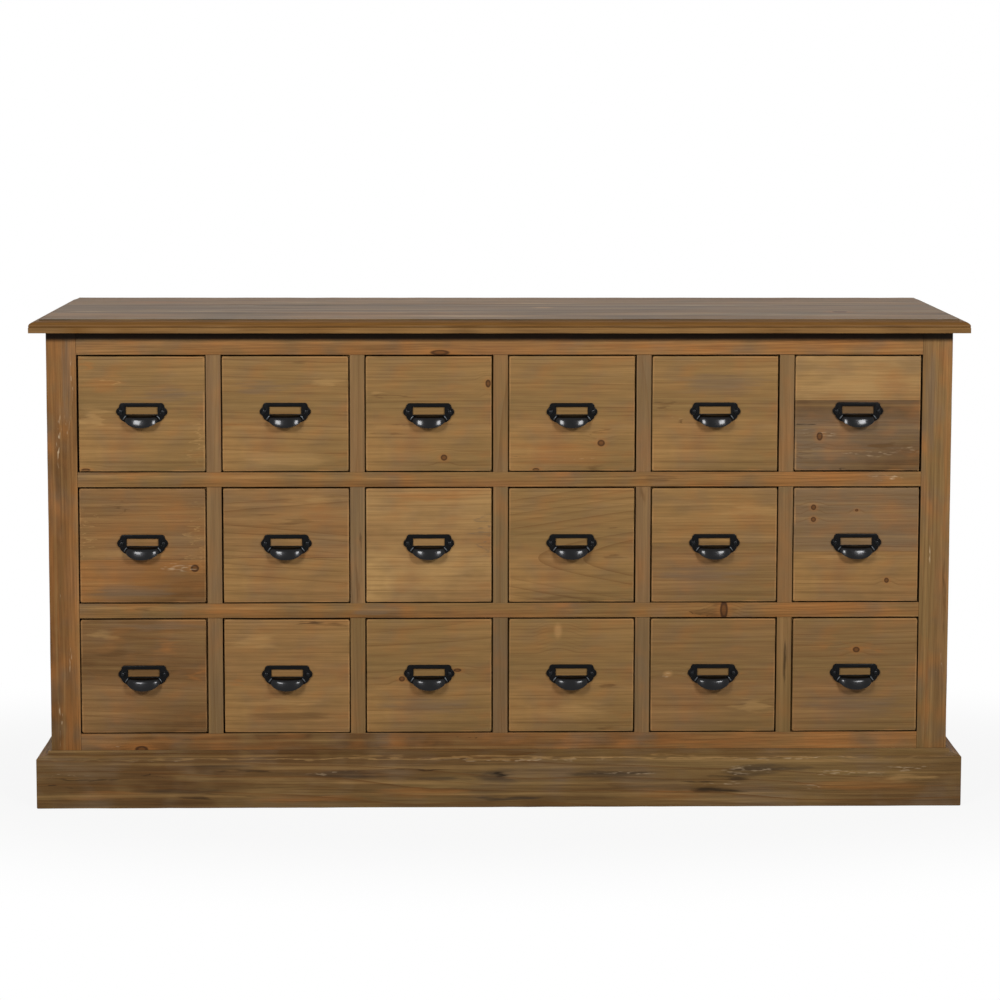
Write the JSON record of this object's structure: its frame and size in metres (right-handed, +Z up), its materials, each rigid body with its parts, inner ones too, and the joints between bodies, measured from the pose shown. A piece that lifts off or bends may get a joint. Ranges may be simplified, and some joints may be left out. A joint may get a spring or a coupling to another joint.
{
  "type": "sideboard",
  "caption": "Old pine sideboard with rows of small square drawers set flush in a face frame, iron cup pulls with card frames, a moulded top and a plinth.",
  "frame": {"origin": "on the floor under the middle of the top board's outline", "axes": "+Z up, +X to the right when facing the drawers, +Y towards the back; the drawers open towards -Y"},
  "size_m": [1.8, 0.45, 0.954],
  "materials": {
    "pine_top": "old brushed pine, greyed, matt wax",
    "pine_frame": "old brushed pine, matt wax",
    "pine_plinth": "old brushed pine, darker, matt wax",
    "pine_drawer": "old brushed pine, matt wax",
    "pine_inside": "planed pine, unfinished",
    "dark_iron": "blackened cast iron, satin"
  },
  "bodies": {
    "carcass": {"top_board": "pine_top", "left_stile": "pine_frame", "right_stile": "pine_frame", "top_rail": "pine_frame", "upper_rail": "pine_frame", "lower_rail": "pine_frame", "bottom_rail": "pine_frame", "muntins": "pine_frame", "left_side": "pine_frame", "right_side": "pine_frame", "back_boards": "pine_inside", "bottom_board": "pine_inside", "bottom_runners": "pine_inside", "middle_runners": "pine_inside", "top_runners": "pine_inside", "drawer_guides": "pine_inside", "kickers": "pine_inside", "rear_rails": "pine_inside", "drawer_stops": "pine_inside", "bottom_bearers": "pine_inside", "glue_blocks": "pine_inside", "front_plinth": "pine_plinth", "left_plinth": "pine_plinth", "right_plinth": "pine_plinth"},
    "drawer_bottom_1": {"bottom_drawer_1": "pine_drawer", "bottom_pull_1": "dark_iron"},
    "drawer_bottom_2": {"bottom_drawer_2": "pine_drawer", "bottom_pull_2": "dark_iron"},
    "drawer_bottom_3": {"bottom_drawer_3": "pine_drawer", "bottom_pull_3": "dark_iron"},
    "drawer_bottom_4": {"bottom_drawer_4": "pine_drawer", "bottom_pull_4": "dark_iron"},
    "drawer_bottom_5": {"bottom_drawer_5": "pine_drawer", "bottom_pull_5": "dark_iron"},
    "drawer_bottom_6": {"bottom_drawer_6": "pine_drawer", "bottom_pull_6": "dark_iron"},
    "drawer_middle_1": {"middle_drawer_1": "pine_drawer", "middle_pull_1": "dark_iron"},
    "drawer_middle_2": {"middle_drawer_2": "pine_drawer", "middle_pull_2": "dark_iron"},
    "drawer_middle_3": {"middle_drawer_3": "pine_drawer", "middle_pull_3": "dark_iron"},
    "drawer_middle_4": {"middle_drawer_4": "pine_drawer", "middle_pull_4": "dark_iron"},
    "drawer_middle_5": {"middle_drawer_5": "pine_drawer", "middle_pull_5": "dark_iron"},
    "drawer_middle_6": {"middle_drawer_6": "pine_drawer", "middle_pull_6": "dark_iron"},
    "drawer_top_1": {"top_drawer_1": "pine_drawer", "top_pull_1": "dark_iron"},
    "drawer_top_2": {"top_drawer_2": "pine_drawer", "top_pull_2": "dark_iron"},
    "drawer_top_3": {"top_drawer_3": "pine_drawer", "top_pull_3": "dark_iron"},
    "drawer_top_4": {"top_drawer_4": "pine_drawer", "top_pull_4": "dark_iron"},
    "drawer_top_5": {"top_drawer_5": "pine_drawer", "top_pull_5": "dark_iron"},
    "drawer_top_6": {"top_drawer_6": "pine_drawer", "top_pull_6": "dark_iron"}
  },
  "joints": [
    {"name": "bottom_1_slide", "type": "slide", "parent": "carcass", "child": "drawer_bottom_1", "axis": [0, -1, 0], "range_m": [0, 0.3]},
    {"name": "bottom_2_slide", "type": "slide", "parent": "carcass", "child": "drawer_bottom_2", "axis": [0, -1, 0], "range_m": [0, 0.3]},
    {"name": "bottom_3_slide", "type": "slide", "parent": "carcass", "child": "drawer_bottom_3", "axis": [0, -1, 0], "range_m": [0, 0.3]},
    {"name": "bottom_4_slide", "type": "slide", "parent": "carcass", "child": "drawer_bottom_4", "axis": [0, -1, 0], "range_m": [0, 0.3]},
    {"name": "bottom_5_slide", "type": "slide", "parent": "carcass", "child": "drawer_bottom_5", "axis": [0, -1, 0], "range_m": [0, 0.3]},
    {"name": "bottom_6_slide", "type": "slide", "parent": "carcass", "child": "drawer_bottom_6", "axis": [0, -1, 0], "range_m": [0, 0.3]},
    {"name": "middle_1_slide", "type": "slide", "parent": "carcass", "child": "drawer_middle_1", "axis": [0, -1, 0], "range_m": [0, 0.3]},
    {"name": "middle_2_slide", "type": "slide", "parent": "carcass", "child": "drawer_middle_2", "axis": [0, -1, 0], "range_m": [0, 0.3]},
    {"name": "middle_3_slide", "type": "slide", "parent": "carcass", "child": "drawer_middle_3", "axis": [0, -1, 0], "range_m": [0, 0.3]},
    {"name": "middle_4_slide", "type": "slide", "parent": "carcass", "child": "drawer_middle_4", "axis": [0, -1, 0], "range_m": [0, 0.3]},
    {"name": "middle_5_slide", "type": "slide", "parent": "carcass", "child": "drawer_middle_5", "axis": [0, -1, 0], "range_m": [0, 0.3]},
    {"name": "middle_6_slide", "type": "slide", "parent": "carcass", "child": "drawer_middle_6", "axis": [0, -1, 0], "range_m": [0, 0.3]},
    {"name": "top_1_slide", "type": "slide", "parent": "carcass", "child": "drawer_top_1", "axis": [0, -1, 0], "range_m": [0, 0.3]},
    {"name": "top_2_slide", "type": "slide", "parent": "carcass", "child": "drawer_top_2", "axis": [0, -1, 0], "range_m": [0, 0.3]},
    {"name": "top_3_slide", "type": "slide", "parent": "carcass", "child": "drawer_top_3", "axis": [0, -1, 0], "range_m": [0, 0.3]},
    {"name": "top_4_slide", "type": "slide", "parent": "carcass", "child": "drawer_top_4", "axis": [0, -1, 0], "range_m": [0, 0.3]},
    {"name": "top_5_slide", "type": "slide", "parent": "carcass", "child": "drawer_top_5", "axis": [0, -1, 0], "range_m": [0, 0.3]},
    {"name": "top_6_slide", "type": "slide", "parent": "carcass", "child": "drawer_top_6", "axis": [0, -1, 0], "range_m": [0, 0.3]}
  ]
}
